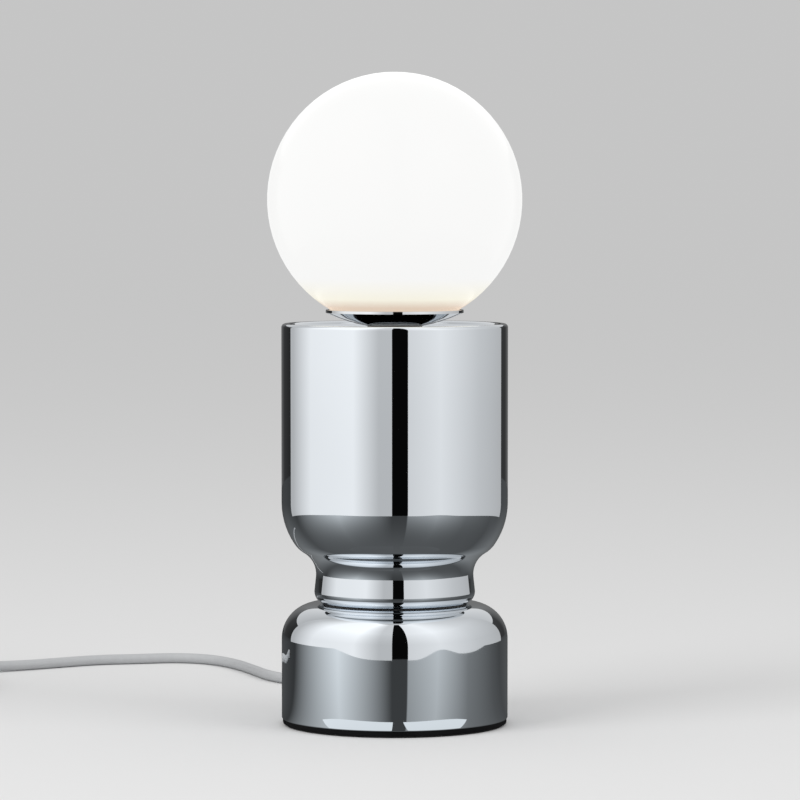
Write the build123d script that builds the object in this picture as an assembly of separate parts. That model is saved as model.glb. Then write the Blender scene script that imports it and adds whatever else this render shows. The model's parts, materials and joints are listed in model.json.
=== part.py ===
from build123d import *
import os
from math import acos, atan2, cos, degrees, pi, radians, sin, sqrt, tan

# Glass table lamp: an opal globe in a chrome dish, on a silvered glass body with a waist.
# Millimetres, +Z up. The origin is on the table under the lamp's axis, and +Y is the back.

# Opal globe and the chrome dish it stands in
globe_d = 120.0
globe_wall = 3.0
mouth_d = 53.0
lip_inset = 1.7
globe_mouth_h = 22.5
dish_sphere_r = 75.6
dish_rim_d = 65.0
dish_rim_h = 1.4
dish_rim_t = 1.4
dish_t = 1.0
dish_land_d = 23.8
rim_cover = 0.6
seal_margin = 0.6

# Silvered glass body, from the foot up
body_d = 106.8
glass_wall = 3.0
base_h = 54.26
shoulder_r = 16.5
neck_joint_t = 0.5
neck_collar_t = 0.6
neck_collar_h = 6.0
neck_collar_inset = 0.8
neck_d = 74.3
bead_swell = 0.65
bead_round_r = 5.0
bead_foot_deg = 65.0
neck_taper_deg = 6.0
waist_fillet_r = 12.0
cup_corner_r = 14.0
cup_sweep_r = 35.0
cup_sweep_deg = 34.0
cup_h = 86.0
top_edge_r = 1.8
top_land = 0.6
recess_depth = 2.3
recess_curve_r = 4.0
top_wall = 3.4
inner_corner_r = 6.0

# Foot and cast weight
felt_t = 0.8
felt_inset = 1.4
tray_t = 2.2
tray_inset = 0.5
weight_h = 17.0
weight_flange_h = 4.5
weight_d = 86.0
hub_d = 30.0
hub_h = 16.0
tray_screw_pcd = 60.0
tray_screw_count = 3
tray_screw_d = 4.0
tray_screw_head_d = 7.6
tray_screw_head_h = 1.8
tray_screw_depth = 9.0

# Threaded tube and the stack on it inside the dish
tube_d = 10.0
tube_bore = 8.0
tube_thread_l = 7.0
gasket_t = 1.0
gasket_margin = 1.1
spigot_t = 1.2
spigot_h = 2.8
carrier_floor_t = 1.2
carrier_wall_t = 1.2
carrier_h = 17.8
carrier_gap = 1.9
carrier_rise = 0.7
washer_d = 18.0
washer_t = 0.8
tube_nut_af = 14.0
tube_nut_h = 4.0
spring_w = 6.0
spring_t = 0.4
spring_h = 9.0
spring_count = 3
spring_clear = 0.35

# E14 lampholder
holder_d = 27.2
holder_wall = 1.4
holder_neck_d = 15.2
holder_neck_h = 5.0
dome_cone_h = 5.5
dome_h = 14.0
ledge_h = 11.0
ledge_w = 1.7
insert_t = 6.3
socket_d = 14.3
shell_t = 0.9
shell_h = 20.0
skirt_h = 24.0
contact_d = 6.0
contact_h = 1.5
rivet_d = 4.0
lead_d = 1.8
lead_pair = 2.6
lead_spread = 12.0
lead_bend_r = 1.4

# E14 bulb
bulb_d = 45.0
bulb_l = 78.0
bulb_tip_d = 4.8
bulb_tip_h = 1.2
bulb_insulator_h = 3.0
bulb_cap_d = 13.7
bulb_cap_h = 17.5
bulb_cap_t = 0.6
bulb_collar_d = 16.4
bulb_collar_h = 2.0
bulb_base_d = 36.0
bulb_base_h = 20.0
bulb_glass_t = 1.4
board_d = 28.0
board_t = 1.6

# Cord, its strain relief and its clamp
cord_d = 5.2
cord_axis_h = 14.0
cord_bend_r = 10.0
cord_room = 1.3
bushing_barrel_d = 9.2
bushing_flange_d = 14.0
bushing_flange_t = 2.5
bushing_thread_l = 1.5
bushing_tail_l = 24.0
bushing_tail_d = 9.4
tail_tip_d = 7.2
tail_grooves = 5
tail_groove = 0.7
bushing_nut_af = 12.0
bushing_nut_t = 3.0
clamp_place = 29.0
clamp_l = 22.0
clamp_w = 9.0
clamp_t = 2.0
clamp_room = 0.5
clamp_screw_d = 3.0
clamp_head_d = 5.6
clamp_head_h = 1.8
clamp_screw_pitch = 15.0
clamp_screw_depth = 7.0

# In-line switch, its long axis along Y where it lies
switch_x = -231.0
switch_y = 128.0
switch_l = 66.0
switch_w = 27.0
switch_h = 19.0
switch_end_w = 10.8
switch_split_h = 9.0
switch_wall = 2.4
switch_top_round = 3.5
switch_foot_round = 1.5
cord_grip_l = 8.0
rocker_l = 21.6
rocker_w = 12.0
rocker_rise = 6.6
rocker_dip = 1.4
rocker_drop = 3.4
rocker_skirt = 0.8
rocker_keel = 10.0
rocker_tilt_deg = 8.0
rocker_axis_h = 13.5
rocker_room = 1.3
rocker_pin_d = 2.4
lug_t = 2.4
lug_w = 6.0
lug_h = 2.6
terminal_l = 9.0
terminal_w = 7.0
terminal_h = 5.0
terminal_place = 17.5
case_screw_x = 18.0
case_screw_y = 7.0
case_screw_d = 2.4
case_screw_l = 12.0
case_screw_head_d = 4.4
case_screw_head_h = 1.6
case_post_d = 5.2

# Flat two-pin plug, its pins along Y where it lies
plug_x = -297.0
plug_y = 129.0
plug_w = 35.3
plug_t = 13.7
plug_front_l = 10.0
plug_l = 34.0
plug_rear_w = 14.0
plug_rear_t = 11.0
plug_corner_r = 4.5
plug_tail_d = 9.4
plug_tail_l = 26.0
pin_d = 4.0
pin_l = 19.0
pin_sleeve_d = 3.8
pin_sleeve_l = 10.0
pin_core_d = 3.0
pin_spacing = 18.2
pin_root_l = 8.0

# Coil of the put-away cord, two layers of a flat spiral, and its tie
coil_x = -258.0
coil_y = 30.0
coil_outer_r = 39.0
coil_turns = 3
coil_pitch = 5.75
tie_t = 0.8
tie_w = 7.0
tie_corner_r = 2.0

# Clearances
running_fit = 0.05
touch_gap = 0.1
loose_fit = 0.2
body_gap = 0.3
case_gap = 0.4

# Radii that follow from the sizes
body_r = body_d / 2
glass_in_r = body_r - glass_wall
neck_r = neck_d / 2
tube_r = tube_d / 2
tube_hole_r = tube_r + running_fit
cord_r = cord_d / 2
cord_hole_r = cord_r + running_fit
globe_r = globe_d / 2
globe_in_r = globe_r - globe_wall
mouth_r = mouth_d / 2
rim_r = dish_rim_d / 2
rim_in_r = rim_r - dish_rim_t
land_r = dish_land_d / 2
holder_r = holder_d / 2
holder_in_r = holder_r - holder_wall
glass_hole_r = tube_hole_r + spigot_t + loose_fit


def angle_of(a, b):
    """Direction from point a to point b, in degrees."""
    return degrees(atan2(b[1] - a[1], b[0] - a[0]))


# Heights of the foot and the glass body, with the waist's arcs all tangent
foot_h = felt_t + tray_t
shoulder_z = foot_h + base_h
side_end_z = shoulder_z - shoulder_r
bead_foot = radians(bead_foot_deg)
bead_centre_r = neck_r + bead_swell - bead_round_r
crease_r = bead_centre_r + bead_round_r * cos(bead_foot)
neck_in_r = crease_r - glass_wall
neck_z = shoulder_z + neck_joint_t
bead_z = neck_z + bead_round_r * sin(bead_foot)
taper = radians(neck_taper_deg)
bead_end = (bead_centre_r + bead_round_r * cos(taper), bead_z + bead_round_r * sin(taper))
taper_top_r = neck_r + waist_fillet_r * (1 - cos(taper))
taper_top = (taper_top_r, bead_end[1] + (bead_end[0] - taper_top_r) / tan(taper))
waist = (neck_r + waist_fillet_r, taper_top[1] + waist_fillet_r * sin(taper))
sweep_centre_r = body_r - cup_sweep_r
sweep_turn = radians(cup_sweep_deg)
corner_r = sweep_centre_r + (cup_sweep_r - cup_corner_r) * cos(sweep_turn)
corner_rise = sqrt((cup_corner_r + waist_fillet_r) ** 2 - (waist[0] - corner_r) ** 2)
corner = (corner_r, waist[1] + corner_rise)
sweep_centre = (sweep_centre_r, corner[1] + (cup_sweep_r - cup_corner_r) * sin(sweep_turn))
top_z = sweep_centre[1] + cup_h
recess_z = top_z - recess_depth
under_z = recess_z - top_wall
roof_z = under_z - inner_corner_r

# Heights of the dish, the globe and the stack inside
dish_z = recess_z + gasket_t
dish_floor_z = dish_z + dish_t
dish_in_r = dish_sphere_r - dish_t
dish_centre_z = dish_z + sqrt(dish_sphere_r ** 2 - land_r ** 2)
floor_r = sqrt(dish_in_r ** 2 - (dish_centre_z - dish_floor_z) ** 2)


def dish_height(sphere_r, r):
    """Height of a sphere about the dish's centre, at radius r from the lamp's axis."""
    return dish_centre_z - sqrt(sphere_r ** 2 - r ** 2)


rim_z = dish_height(dish_sphere_r, rim_r)
rim_top_z = rim_z + dish_rim_h
mouth_z = rim_top_z - rim_cover
lip_r = rim_in_r - lip_inset
globe_z = mouth_z + sqrt(globe_r ** 2 - lip_r ** 2)
globe_split_z = mouth_z + globe_mouth_h
carrier_r = mouth_r - carrier_gap
carrier_top_z = dish_floor_z + carrier_h
washer_z = dish_floor_z + carrier_floor_t
nut_z = washer_z + washer_t
holder_z = nut_z + tube_nut_h + loose_fit
insert_z = holder_z + ledge_h
insert_top_z = insert_z + insert_t
tube_foot_z = cord_axis_h + cord_bend_r + cord_room
tube_top_z = holder_z + tube_thread_l
sheath_end_z = holder_z + tube_thread_l / 2

# Heights of the bulb
tip_z = insert_top_z + contact_h + body_gap
insulator_z = tip_z + bulb_tip_h
cap_z = insulator_z + bulb_insulator_h
cap_top_z = cap_z + bulb_cap_h
bulb_base_z = cap_top_z + bulb_base_h
ball_z = tip_z + bulb_l - bulb_d / 2

# Places of the strain relief, along Y from the lamp's axis
bushing_nut_corner = bushing_nut_af / 2 / cos(pi / 6)
bushing_nut_y = sqrt(glass_in_r ** 2 - bushing_nut_corner ** 2) - running_fit
bushing_y = bushing_nut_y - bushing_nut_t - bushing_thread_l
tail_y = body_r + bushing_flange_t
exit_y = tail_y + bushing_tail_l


# Shapes that many pieces use

def arc_about(centre, r, from_deg, to_deg):
    return CenterArc(centre, r, from_deg, to_deg - from_deg)


def turned(edges):
    """A solid turned about Z from the edges of its half section in X and Z."""
    return revolve(Plane.XZ * make_face(edges), axis=Axis.Z)


def turned_points(*points):
    """A solid turned about Z from the corners of its half section in X and Z."""
    return turned(Polyline(*points, close=True).edges())


def ring(outer_r, inner_r, z0, z1):
    return turned_points((inner_r, z0), (outer_r, z0), (outer_r, z1), (inner_r, z1))


def disc(r, z0, z1):
    return turned_points((0, z0), (r, z0), (r, z1), (0, z1))


def block(x0, x1, y0, y1, z0, z1):
    middle = Pos((x0 + x1) / 2, (y0 + y1) / 2, (z0 + z1) / 2)
    return middle * Box(x1 - x0, y1 - y0, z1 - z0)


def hex_nut(across_flats, bore_r, z0, z1):
    flats = RegularPolygon(across_flats / 2, 6, major_radius=False) - Circle(bore_r)
    return extrude(Pos(0, 0, z0) * flats, z1 - z0)


def along_cord(shape):
    """Turns a shape made along Z so that it lies along the cord's way out at the back."""
    return Pos(0, 0, cord_axis_h) * Rot(-90, 0, 0) * shape


def ribbed_tail(start, length, root_d, bore_r):
    """Tapered sleeve with grooves across it, along Z from start, as on a moulded lead."""
    root_r = root_d / 2
    tip_r = tail_tip_d / 2
    end = start + length
    sleeve = turned_points((bore_r, start), (root_r, start), (tip_r, end), (bore_r, end))
    pitch = length / (tail_grooves + 1)
    for i in range(tail_grooves):
        z = start + (i + 1) * pitch
        r = root_r + (tip_r - root_r) * (z - start) / length
        sleeve -= ring(root_r + tail_groove, r - tail_groove, z - pitch / 5, z + pitch / 5)
    return sleeve


def write(name, shape):
    """One STEP file for one piece, or for a group of like pieces."""
    body = Compound(children=shape) if isinstance(shape, list) else shape
    export_step(body, f"parts/{name}.step")


# Glass

def make_glass_base():
    """Lower blown glass: a drum with a rounded shoulder and a hole for the cord."""
    shoulder_centre = (body_r - shoulder_r, side_end_z)
    shelf_z = shoulder_z - glass_wall
    shell = turned([
        Line((glass_in_r, foot_h), (body_r, foot_h)),
        Line((body_r, foot_h), (body_r, side_end_z)),
        arc_about(shoulder_centre, shoulder_r, 0, 90),
        Line((body_r - shoulder_r, shoulder_z), (neck_in_r, shoulder_z)),
        Line((neck_in_r, shoulder_z), (neck_in_r, shelf_z)),
        Line((neck_in_r, shelf_z), (body_r - shoulder_r, shelf_z)),
        arc_about(shoulder_centre, shoulder_r - glass_wall, 90, 0),
        Line((glass_in_r, side_end_z), (glass_in_r, foot_h)),
    ])
    return shell - along_cord(disc(bushing_barrel_d / 2 + case_gap, weight_d / 2, exit_y))


def make_glass_waist():
    """Upper blown glass, lower part: a bead, a waist and the rounded underside of the drum."""
    sweep_in_r = cup_sweep_r - glass_wall
    corner_in_r = cup_corner_r - glass_wall
    throat_r = waist_fillet_r + glass_wall
    throat_c = neck_in_r + throat_r
    throat_fall = sqrt((corner_in_r + throat_r) ** 2 - (throat_c - corner[0]) ** 2)
    throat = (throat_c, corner[1] - throat_fall)
    waist_deg = angle_of(waist, corner)
    throat_deg = angle_of(throat, corner)
    return turned([
        Line((neck_in_r, neck_z), (crease_r, neck_z)),
        arc_about((bead_centre_r, bead_z), bead_round_r, -bead_foot_deg, neck_taper_deg),
        Line(bead_end, taper_top),
        arc_about(waist, waist_fillet_r, 180 + neck_taper_deg, waist_deg),
        arc_about(corner, cup_corner_r, waist_deg - 180, -cup_sweep_deg),
        arc_about(sweep_centre, cup_sweep_r, -cup_sweep_deg, 0),
        Line((body_r, sweep_centre[1]), (glass_in_r, sweep_centre[1])),
        arc_about(sweep_centre, sweep_in_r, 0, -cup_sweep_deg),
        arc_about(corner, corner_in_r, -cup_sweep_deg, throat_deg - 180),
        arc_about(throat, throat_r, throat_deg, 180),
        Line((neck_in_r, throat[1]), (neck_in_r, neck_z)),
    ])


def make_glass_top():
    """Upper blown glass, top: a rounded edge, a sunk face and a hole for the tube."""
    edge_z = top_z - top_edge_r
    lip_end_r = body_r - top_edge_r - top_land
    fall_deg = degrees(acos(1 - recess_depth / (2 * recess_curve_r)))
    dip_r = lip_end_r - 2 * recess_curve_r * sin(radians(fall_deg))
    roof_r = glass_in_r - inner_corner_r
    return turned([
        Line((glass_in_r, roof_z), (body_r, roof_z)),
        Line((body_r, roof_z), (body_r, edge_z)),
        arc_about((body_r - top_edge_r, edge_z), top_edge_r, 0, 90),
        Line((body_r - top_edge_r, top_z), (lip_end_r, top_z)),
        arc_about((lip_end_r, top_z - recess_curve_r), recess_curve_r, 90, 90 + fall_deg),
        arc_about((dip_r, recess_z + recess_curve_r), recess_curve_r, fall_deg - 90, -90),
        Line((dip_r, recess_z), (glass_hole_r, recess_z)),
        Line((glass_hole_r, recess_z), (glass_hole_r, under_z)),
        Line((glass_hole_r, under_z), (roof_r, under_z)),
        arc_about((roof_r, roof_z), inner_corner_r, 90, 0),
    ])


def make_neck_collar():
    """Silicone ring between the two glasses, with a thin sleeve that centres them."""
    sleeve_r = neck_in_r - running_fit
    sleeve = ring(sleeve_r, sleeve_r - neck_collar_t, shoulder_z - neck_collar_h, neck_z + neck_collar_h)
    return sleeve + ring(crease_r - neck_collar_inset, sleeve_r - neck_collar_t, shoulder_z, neck_z)


def globe_edge(sphere_r, z):
    """Point of a sphere about the globe's centre, at height z."""
    return (sqrt(sphere_r ** 2 - (z - globe_z) ** 2), z)


def make_globe():
    """Opal globe above its mouth."""
    centre = (0, globe_z)
    foot = globe_edge(globe_r, globe_split_z)
    foot_in = globe_edge(globe_in_r, globe_split_z)
    return turned([
        Line(foot_in, foot),
        arc_about(centre, globe_r, angle_of(centre, foot), 90),
        Line((0, globe_z + globe_r), (0, globe_z + globe_in_r)),
        arc_about(centre, globe_in_r, 90, angle_of(centre, foot_in)),
    ])


def make_globe_mouth():
    """Lowest part of the opal globe, with a ground flat lip and a mouth that passes the bulb."""
    centre = (0, globe_z)
    lip = (lip_r, mouth_z)
    top = globe_edge(globe_r, globe_split_z)
    top_in = globe_edge(globe_in_r, globe_split_z)
    mouth_top = (mouth_r, globe_z - sqrt(globe_in_r ** 2 - mouth_r ** 2))
    return turned([
        Line((mouth_r, mouth_z), lip),
        arc_about(centre, globe_r, angle_of(centre, lip), angle_of(centre, top)),
        Line(top, top_in),
        arc_about(centre, globe_in_r, angle_of(centre, top_in), angle_of(centre, mouth_top)),
        Line(mouth_top, (mouth_r, mouth_z)),
    ])


# Dish and what is stacked in it

def make_dish():
    """Spun chrome dish: a flat land, a shallow bowl and an upright rim band."""
    centre = (0, dish_centre_z)
    rim_in_z = dish_height(dish_in_r, rim_in_r)
    return turned([
        Line((tube_hole_r, dish_z), (land_r, dish_z)),
        arc_about(centre, dish_sphere_r, angle_of(centre, (land_r, dish_z)),
                  angle_of(centre, (rim_r, rim_z))),
        Line((rim_r, rim_z), (rim_r, rim_top_z)),
        Line((rim_r, rim_top_z), (rim_in_r, rim_top_z)),
        Line((rim_in_r, rim_top_z), (rim_in_r, rim_in_z)),
        arc_about(centre, dish_in_r, angle_of(centre, (rim_in_r, rim_in_z)),
                  angle_of(centre, (floor_r, dish_floor_z))),
        Line((floor_r, dish_floor_z), (tube_hole_r, dish_floor_z)),
        Line((tube_hole_r, dish_floor_z), (tube_hole_r, dish_z)),
    ])


def make_seal():
    """Silicone ring with a sloped underside that follows the dish."""
    r0 = mouth_r + seal_margin
    r1 = lip_r + seal_margin
    return turned_points(
        (r0, dish_height(dish_in_r, r0) + running_fit),
        (r1, dish_height(dish_in_r, r1) + running_fit),
        (r1, mouth_z),
        (r0, mouth_z),
    )


def make_gasket():
    """Flat silicone gasket with a spigot that centres in the hole of the glass."""
    spigot_r = tube_hole_r + spigot_t
    return turned_points(
        (tube_hole_r, recess_z - spigot_h),
        (spigot_r, recess_z - spigot_h),
        (spigot_r, recess_z),
        (land_r + gasket_margin, recess_z),
        (land_r + gasket_margin, dish_z),
        (tube_hole_r, dish_z),
    )


def make_carrier():
    """Moulded cup on the dish's floor, with a round wall inside the globe's mouth."""
    foot_r = floor_r - carrier_rise
    cone_z = dish_height(dish_in_r, carrier_r) + carrier_rise
    return turned_points(
        (tube_hole_r, dish_floor_z),
        (foot_r, dish_floor_z),
        (carrier_r, cone_z),
        (carrier_r, carrier_top_z),
        (carrier_r - carrier_wall_t, carrier_top_z),
        (carrier_r - carrier_wall_t, cone_z + carrier_wall_t),
        (foot_r, washer_z),
        (tube_hole_r, washer_z),
    )


def make_springs():
    """Leaf springs bowed outwards from the carrier's wall."""
    r0 = carrier_r + running_fit
    r1 = r0 + spring_t
    crown_r = sqrt((mouth_r - spring_clear) ** 2 - (spring_w / 2) ** 2)
    z1 = carrier_top_z - carrier_wall_t
    z0 = z1 - spring_h
    middle_z = (z0 + z1) / 2
    leaf = make_face([
        ThreePointArc((r1, z0), (crown_r, middle_z), (r1, z1)),
        Line((r1, z1), (r0, z1)),
        ThreePointArc((r0, z1), (crown_r - spring_t, middle_z), (r0, z0)),
        Line((r0, z0), (r1, z0)),
    ])
    spring = extrude(Plane.XZ * leaf, spring_w / 2, both=True)
    return [Rot(0, 0, 90 + i * 360 / spring_count) * spring for i in range(spring_count)]


# Lampholder and bulb

def make_dome():
    """Holder base: a threaded neck that opens into a cup with a ledge."""
    neck = holder_neck_d / 2
    cone_z = holder_z + holder_neck_h
    top = holder_z + dome_h
    ledge_r = holder_in_r - ledge_w
    return turned_points(
        (tube_hole_r, holder_z),
        (neck, holder_z),
        (neck, cone_z),
        (holder_r, cone_z + dome_cone_h),
        (holder_r, top),
        (holder_in_r, top),
        (holder_in_r, insert_z),
        (ledge_r, insert_z),
        (tube_hole_r, tube_top_z + running_fit),
    )


def make_insert():
    """Porcelain insert with holes for the centre contact and the two conductors."""
    body = disc(holder_in_r - body_gap, insert_z, insert_top_z)
    body -= disc(rivet_d / 2 + running_fit, insert_z, insert_top_z)
    for side in (-1, 1):
        hole = disc(lead_d / 2 + touch_gap, insert_z, insert_z + insert_t / 2)
        body -= Pos(side * lead_spread / 2, 0, 0) * hole
    return body


def make_contact():
    """Centre contact: a flat head on a rivet through the insert."""
    return (disc(rivet_d / 2, insert_z + insert_t / 4, insert_top_z)
            + disc(contact_d / 2, insert_top_z, insert_top_z + contact_h))


def make_shell():
    inner_r = socket_d / 2
    return ring(inner_r + shell_t, inner_r, insert_top_z, insert_top_z + shell_h)


def make_skirt():
    """Outer sleeve that screws onto the dome and stands round the threaded shell."""
    z0 = holder_z + dome_h
    step_z = insert_top_z + loose_fit
    z1 = z0 + skirt_h
    throat = socket_d / 2 + shell_t + loose_fit
    return turned_points(
        (holder_in_r, z0),
        (holder_r, z0),
        (holder_r, z1 - holder_wall),
        (holder_r - holder_wall, z1),
        (throat, z1),
        (throat, step_z),
        (holder_in_r, step_z),
    )


def make_lead(side):
    """One conductor, from the end of the sheath up into its hole in the insert."""
    x0 = side * lead_pair / 2
    x1 = side * lead_spread / 2
    turn_z = (tube_top_z + insert_z) / 2
    path = FilletPolyline(
        (x0, 0, sheath_end_z), (x0, 0, turn_z), (x1, 0, turn_z), (x1, 0, insert_z + insert_t / 3),
        radius=lead_bend_r,
    )
    return sweep_tube(path, lead_d / 2)


def make_insulator():
    r = bulb_cap_d / 2 - bulb_cap_t
    return turned_points((0, insulator_z), (bulb_tip_d / 2, insulator_z), (r, cap_z), (0, cap_z))


def make_bulb_base():
    """Moulded collar: a stem in the cap, then a flare up to the glass."""
    stem_r = bulb_cap_d / 2 - bulb_cap_t - running_fit
    collar_r = bulb_collar_d / 2
    rim = bulb_base_d / 2
    flare_z = cap_top_z + bulb_collar_h
    middle = (collar_r + (rim - collar_r) / 3, (flare_z + bulb_base_z) / 2)
    return turned([
        Line((0, cap_z), (stem_r, cap_z)),
        Line((stem_r, cap_z), (stem_r, cap_top_z)),
        Line((stem_r, cap_top_z), (collar_r, cap_top_z)),
        Line((collar_r, cap_top_z), (collar_r, flare_z)),
        ThreePointArc((collar_r, flare_z), middle, (rim, bulb_base_z)),
        Line((rim, bulb_base_z), (0, bulb_base_z)),
        Line((0, bulb_base_z), (0, cap_z)),
    ])


def make_envelope():
    """Opal ball of the bulb, a thin shell that stands on the collar."""
    centre = (0, ball_z)
    outer_r = bulb_d / 2
    inner_r = outer_r - bulb_glass_t
    drop = ball_z - bulb_base_z
    foot = (sqrt(outer_r ** 2 - drop ** 2), bulb_base_z)
    foot_in = (sqrt(inner_r ** 2 - drop ** 2), bulb_base_z)
    return turned([
        Line(foot_in, foot),
        arc_about(centre, outer_r, angle_of(centre, foot), 90),
        Line((0, ball_z + outer_r), (0, ball_z + inner_r)),
        arc_about(centre, inner_r, 90, angle_of(centre, foot_in)),
    ])


# Foot, weight and the way of the cord through them

def tray_screw_places():
    step = 360 / tray_screw_count
    return [Rot(0, 0, 30 + i * step) * Pos(tray_screw_pcd / 2, 0, 0)
            for i in range(tray_screw_count)]


def countersunk(gap):
    """Countersunk screw, or its hole in the tray if gap is its clearance."""
    head_r = tray_screw_head_d / 2 + gap
    shank_r = tray_screw_d / 2 + gap
    neck_z = felt_t + tray_screw_head_h
    end_z = foot_h + tray_screw_depth
    return turned_points((0, felt_t), (head_r, felt_t), (shank_r, neck_z), (shank_r, end_z), (0, end_z))


def make_tray():
    tray = disc(body_r - tray_inset, felt_t, foot_h)
    for place in tray_screw_places():
        tray -= place * countersunk(running_fit)
    return tray


clamp_top_z = cord_axis_h - cord_r - touch_gap
clamp_z = clamp_top_z - clamp_t
clamp_sides = [Pos(side * clamp_screw_pitch / 2, clamp_place, 0) for side in (-1, 1)]


def make_weight():
    """Cast weight: a flange that centres the glass, a disc and a hub bored for the tube."""
    flange_r = glass_in_r - body_gap
    flange_z = foot_h + weight_flange_h
    disc_z = foot_h + weight_h
    hub_z = disc_z + hub_h
    slot = cord_r + cord_room
    weight = disc(flange_r, foot_h, flange_z) + disc(weight_d / 2, flange_z, disc_z)
    weight += disc(hub_d / 2, disc_z, hub_z)
    weight -= block(-slot, slot, 0, flange_r, foot_h, cord_axis_h + slot)
    weight -= block(-slot, slot, -slot, cord_bend_r, foot_h, tube_foot_z)
    weight -= disc(tube_hole_r, tube_foot_z, hub_z)
    half_l = clamp_l / 2 + clamp_room
    half_w = clamp_w / 2 + clamp_room
    weight -= block(-half_l, half_l, clamp_place - half_w, clamp_place + half_w, foot_h, clamp_top_z)
    weight -= along_cord(disc(bushing_nut_corner + body_gap, bushing_y - body_gap, exit_y))
    for place in tray_screw_places():
        weight -= place * countersunk(running_fit)
    for place in clamp_sides:
        depth = clamp_top_z + clamp_screw_depth
        weight -= place * disc(clamp_screw_d / 2 + running_fit, clamp_top_z, depth)
    return weight


def make_clamp():
    half_l = clamp_l / 2
    half_w = clamp_w / 2
    plate = block(-half_l, half_l, clamp_place - half_w, clamp_place + half_w, clamp_z, clamp_top_z)
    for place in clamp_sides:
        plate -= place * disc(clamp_screw_d / 2 + touch_gap, clamp_z, clamp_top_z)
    return plate


def make_clamp_screws():
    head = disc(clamp_head_d / 2, clamp_z - clamp_head_h, clamp_z)
    shank = disc(clamp_screw_d / 2, clamp_z, clamp_top_z + clamp_screw_depth)
    return [place * (head + shank) for place in clamp_sides]


def make_bushing():
    """Strain relief: barrel through the glass, a flange shaped to it and a ribbed tail."""
    barrel = along_cord(ring(bushing_barrel_d / 2, cord_hole_r, bushing_y, tail_y))
    flange = along_cord(ring(bushing_flange_d / 2, cord_hole_r, glass_in_r, tail_y))
    flange -= disc(body_r + running_fit, 0, shoulder_z)
    tail = along_cord(ribbed_tail(tail_y, bushing_tail_l, bushing_tail_d, cord_hole_r))
    return barrel + flange + tail


def make_bushing_nut():
    nut = hex_nut(bushing_nut_af, bushing_barrel_d / 2 + running_fit, bushing_nut_y - bushing_nut_t,
                  bushing_nut_y)
    return along_cord(nut)


def sweep_tube(path, r):
    return sweep(Plane(origin=path @ 0, z_dir=path % 0) * Circle(r), path=path)


def make_inner_cord():
    path = FilletPolyline((0, 0, sheath_end_z), (0, 0, cord_axis_h), (0, exit_y, cord_axis_h),
                          radius=cord_bend_r)
    return sweep_tube(path, cord_r)


# In-line switch, made along X about its middle and then laid along Y

switch_laid = Pos(switch_x, switch_y, 0) * Rot(0, 0, 90)
switch_end = switch_l / 2
end_share = switch_end_w / switch_w
switch_long_r = switch_end / sqrt(1 - end_share ** 2)
switch_roof_z = switch_h - switch_wall


def switch_outline(inset):
    """Boat-shaped plan: an ellipse with its two points cut square."""
    plan = Ellipse(switch_long_r - inset, switch_w / 2 - inset)
    return plan & Rectangle(switch_l - 2 * inset, switch_w)


def switch_block():
    whole = extrude(switch_outline(0), switch_h)
    whole = fillet(whole.faces().sort_by(Axis.Z)[-1].edges(), switch_top_round)
    return fillet(whole.faces().sort_by(Axis.Z)[0].edges(), switch_foot_round)


def case_posts(z0, z1):
    places = [Pos(side * case_screw_x, side * case_screw_y, 0) for side in (-1, 1)]
    return [place * disc(case_post_d / 2, z0, z1) for place in places]


def case_screws(gap):
    """Screws up from the underside, or their holes if gap is their clearance."""
    seat_z = switch_wall
    head = disc(case_screw_head_d / 2 + gap, seat_z - case_screw_head_h, seat_z)
    shank = disc(case_screw_d / 2 + gap, seat_z, seat_z + case_screw_l)
    places = [Pos(side * case_screw_x, side * case_screw_y, 0) for side in (-1, 1)]
    return [place * (head + shank) for place in places]


def switch_bore():
    bore = disc(cord_hole_r, -switch_end, switch_end)
    return Pos(0, 0, switch_split_h) * Rot(0, 90, 0) * bore


def make_switch_case(upper):
    """Half of the switch's case, hollow, with its posts, screw holes and cord grooves."""
    z0, z1 = (switch_split_h, switch_h) if upper else (0, switch_split_h)
    inner_z0 = switch_split_h if upper else switch_wall
    inner_z1 = switch_roof_z if upper else switch_split_h
    case = switch_block() & block(-switch_l, switch_l, -switch_w, switch_w, z0, z1)
    room = extrude(Pos(0, 0, inner_z0) * switch_outline(switch_wall), inner_z1 - inner_z0)
    grip_x = switch_end - cord_grip_l
    room &= block(-grip_x, grip_x, -switch_w, switch_w, z0, z1)
    case -= room
    for post in case_posts(inner_z0, inner_z1):
        case += post
    if upper:
        reach = rocker_l / 2 + rocker_room
        half_w = rocker_w / 2 + case_gap
        for side in (-1, 1):
            y0, y1 = sorted((side * half_w, side * (half_w + lug_t)))
            case += block(-lug_w / 2, lug_w / 2, y0, y1, rocker_axis_h - lug_h, switch_roof_z)
        case -= block(-reach, reach, -half_w, half_w, switch_split_h, switch_h)
        case -= pin_line(rocker_pin_d / 2 + running_fit)
    for screw in case_screws(running_fit):
        case -= screw
    return case - switch_bore()


def pin_line(r):
    half = rocker_w / 2 + case_gap + lug_t
    return Pos(0, 0, rocker_axis_h) * Rot(90, 0, 0) * disc(r, -half, half)


def make_rocker():
    """Rocker with a shallow valley on top, tipped to the side that is on."""
    half = rocker_l / 2
    keel = rocker_keel / 2
    side = make_face(Polyline(
        (-half, rocker_rise), (0, rocker_rise - rocker_dip), (half, rocker_rise),
        (half, rocker_skirt), (keel, -rocker_drop), (-keel, -rocker_drop), (-half, rocker_skirt),
        close=True,
    ).edges())
    rocker = extrude(Plane.XZ * side, rocker_w / 2, both=True)
    tipped = Pos(0, 0, rocker_axis_h) * Rot(0, rocker_tilt_deg, 0) * rocker
    return tipped - pin_line(rocker_pin_d / 2 + running_fit)


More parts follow.
